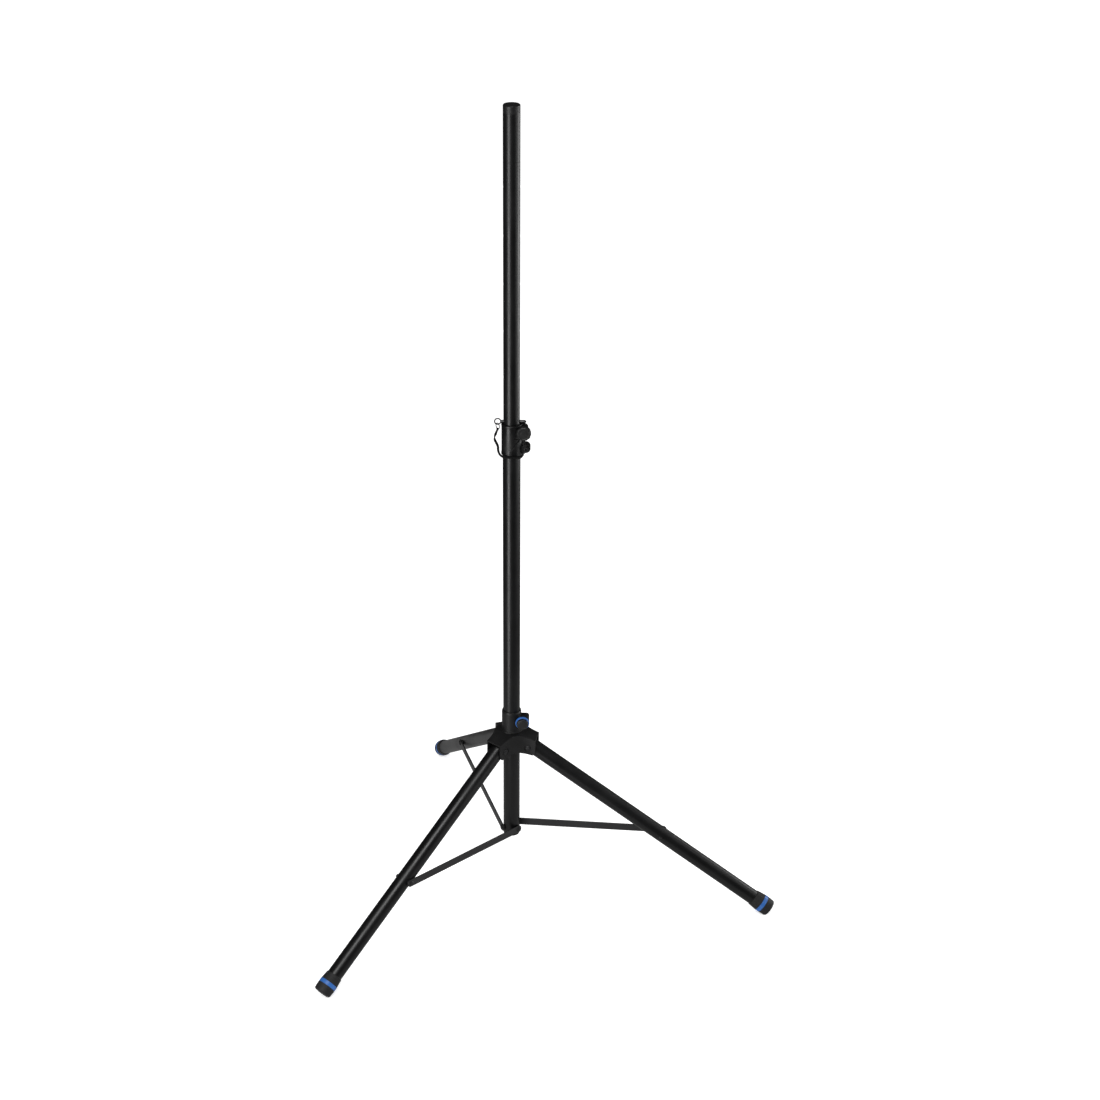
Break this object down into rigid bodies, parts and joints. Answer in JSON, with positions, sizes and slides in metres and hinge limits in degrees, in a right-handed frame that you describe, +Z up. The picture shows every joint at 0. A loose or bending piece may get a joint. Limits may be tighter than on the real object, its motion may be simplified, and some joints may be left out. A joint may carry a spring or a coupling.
{
  "type": "speaker tripod stand",
  "caption": "Folding tripod stand for a loudspeaker: telescoping pole with clamp collar and tethered locking pin, sliding hub with clamp knob, braced legs and rubber boots.",
  "frame": {"origin": "on the floor, on the axis of the column and pole", "axes": "+Z up along the pole; the rear leg stands along +Y, the left and right legs at 210 and 330 degrees from +X, counter-clockwise seen from above"},
  "size_m": [1.0954, 0.9539, 1.838],
  "materials": {
    "black_tube": "satin black powder coat",
    "black_flat_bar": "satin black powder coat",
    "black_casting": "moulded, fine texture",
    "black_plastic": "moulded",
    "boot_rubber": "matte",
    "blue_plastic": "bright blue, semi-gloss",
    "bright_steel": "zinc plated",
    "black_steel_hardware": "blackened",
    "brass_insert": "turned",
    "black_cord": "woven strap"
  },
  "bodies": {
    "column": {"column_tube": "black_tube", "column_bottom_plug": "black_plastic", "brace_pivot_rivets": "black_steel_hardware", "brace_pivot_spacers": "black_plastic", "clamp_collar": "black_casting", "collar_bush": "black_plastic", "clamp_bolt": "black_steel_hardware", "clamp_washer": "black_steel_hardware", "collar_lug_bolt": "black_steel_hardware", "collar_lug_nut": "black_steel_hardware", "lanyard_eyelet": "black_steel_hardware", "lanyard": "black_cord"},
    "pole": {"pole_tube": "black_tube", "pole_top_cap": "black_plastic", "pole_bottom_bush": "black_plastic"},
    "locking_pin": {"locking_pin": "bright_steel", "pin_split_ring": "bright_steel"},
    "clamp_knob": {"clamp_knob": "black_plastic", "clamp_knob_insert": "brass_insert"},
    "hub": {"hub_spider": "black_casting", "hub_sleeve": "black_casting", "hub_bush": "black_plastic", "hub_threaded_insert": "brass_insert", "leg_pivot_bolts": "black_steel_hardware", "leg_pivot_caps": "black_steel_hardware"},
    "hub_knob": {"hub_knob_stud": "black_steel_hardware", "hub_knob_base": "black_plastic", "hub_knob_ring": "blue_plastic", "hub_knob_cap": "black_plastic"},
    "leg_rear": {"leg_tube_rear": "black_tube", "leg_pivot_plug_rear": "black_plastic", "leg_brace_bolt_rear": "black_steel_hardware", "leg_brace_boss_rear": "black_plastic", "foot_boot_rear": "boot_rubber", "foot_ring_rear": "blue_plastic"},
    "brace_rear": {"brace_rear": "black_flat_bar", "brace_rivet_rear": "black_steel_hardware"},
    "leg_left": {"leg_tube_left": "black_tube", "leg_pivot_plug_left": "black_plastic", "leg_brace_bolt_left": "black_steel_hardware", "leg_brace_boss_left": "black_plastic", "foot_boot_left": "boot_rubber", "foot_ring_left": "blue_plastic"},
    "brace_left": {"brace_left": "black_flat_bar", "brace_rivet_left": "black_steel_hardware"},
    "leg_right": {"leg_tube_right": "black_tube", "leg_pivot_plug_right": "black_plastic", "leg_brace_bolt_right": "black_steel_hardware", "leg_brace_boss_right": "black_plastic", "foot_boot_right": "boot_rubber", "foot_ring_right": "blue_plastic"},
    "brace_right": {"brace_right": "black_flat_bar", "brace_rivet_right": "black_steel_hardware"}
  },
  "joints": [
    {"name": "pole_slide", "type": "slide", "parent": "column", "child": "pole", "axis": [0, 0, 1], "range_m": [-0.5, 0.1]},
    {"name": "pin_pull", "type": "slide", "parent": "column", "child": "locking_pin", "axis": [-0.9505, 0.3107, 0], "range_m": [0, 0.05]},
    {"name": "clamp_knob_turn", "type": "hinge", "parent": "column", "child": "clamp_knob", "pos_m": [0.0185, -0.02709, 1.1585], "axis": [-0.3107, -0.9505, 0], "range_deg": [0, 720]},
    {"name": "hub_slide", "type": "slide", "parent": "column", "child": "hub", "axis": [0, 0, 1], "range_m": [0, 0.49755]},
    {"name": "hub_knob_turn", "type": "hinge", "parent": "hub", "child": "hub_knob", "pos_m": [0.016, -0.03153, 0.4517], "axis": [-0.3107, -0.9505, 0], "range_deg": [0, 720]},
    {"name": "leg_fold_rear", "type": "hinge", "parent": "hub", "child": "leg_rear", "pos_m": [0, 0.043, 0.38708], "axis": [-1, 0, 0], "range_deg": [0, 57.01]},
    {"name": "brace_fold_rear", "type": "hinge", "parent": "column", "child": "brace_rear", "pos_m": [0, 0, 0.156], "axis": [1, 0, 0], "range_deg": [0, 78.68]},
    {"name": "leg_fold_left", "type": "hinge", "parent": "hub", "child": "leg_left", "pos_m": [-0.03724, -0.0215, 0.38708], "axis": [0.5, -0.866, 0], "range_deg": [0, 57.01]},
    {"name": "brace_fold_left", "type": "hinge", "parent": "column", "child": "brace_left", "pos_m": [0, 0, 0.156], "axis": [-0.5, 0.866, 0], "range_deg": [0, 78.68]},
    {"name": "leg_fold_right", "type": "hinge", "parent": "hub", "child": "leg_right", "pos_m": [0.03724, -0.0215, 0.38708], "axis": [0.5, 0.866, 0], "range_deg": [0, 57.01]},
    {"name": "brace_fold_right", "type": "hinge", "parent": "column", "child": "brace_right", "pos_m": [0, 0, 0.156], "axis": [-0.5, -0.866, 0], "range_deg": [0, 78.68]}
  ],
  "couplings": [
    {"joint": "leg_fold_rear", "follows": "hub_slide", "rad_per_m": 1.9995},
    {"joint": "brace_fold_rear", "follows": "hub_slide", "rad_per_m": 2.7598},
    {"joint": "leg_fold_left", "follows": "hub_slide", "rad_per_m": 1.9995},
    {"joint": "brace_fold_left", "follows": "hub_slide", "rad_per_m": 2.7598},
    {"joint": "leg_fold_right", "follows": "hub_slide", "rad_per_m": 1.9995},
    {"joint": "brace_fold_right", "follows": "hub_slide", "rad_per_m": 2.7598}
  ]
}
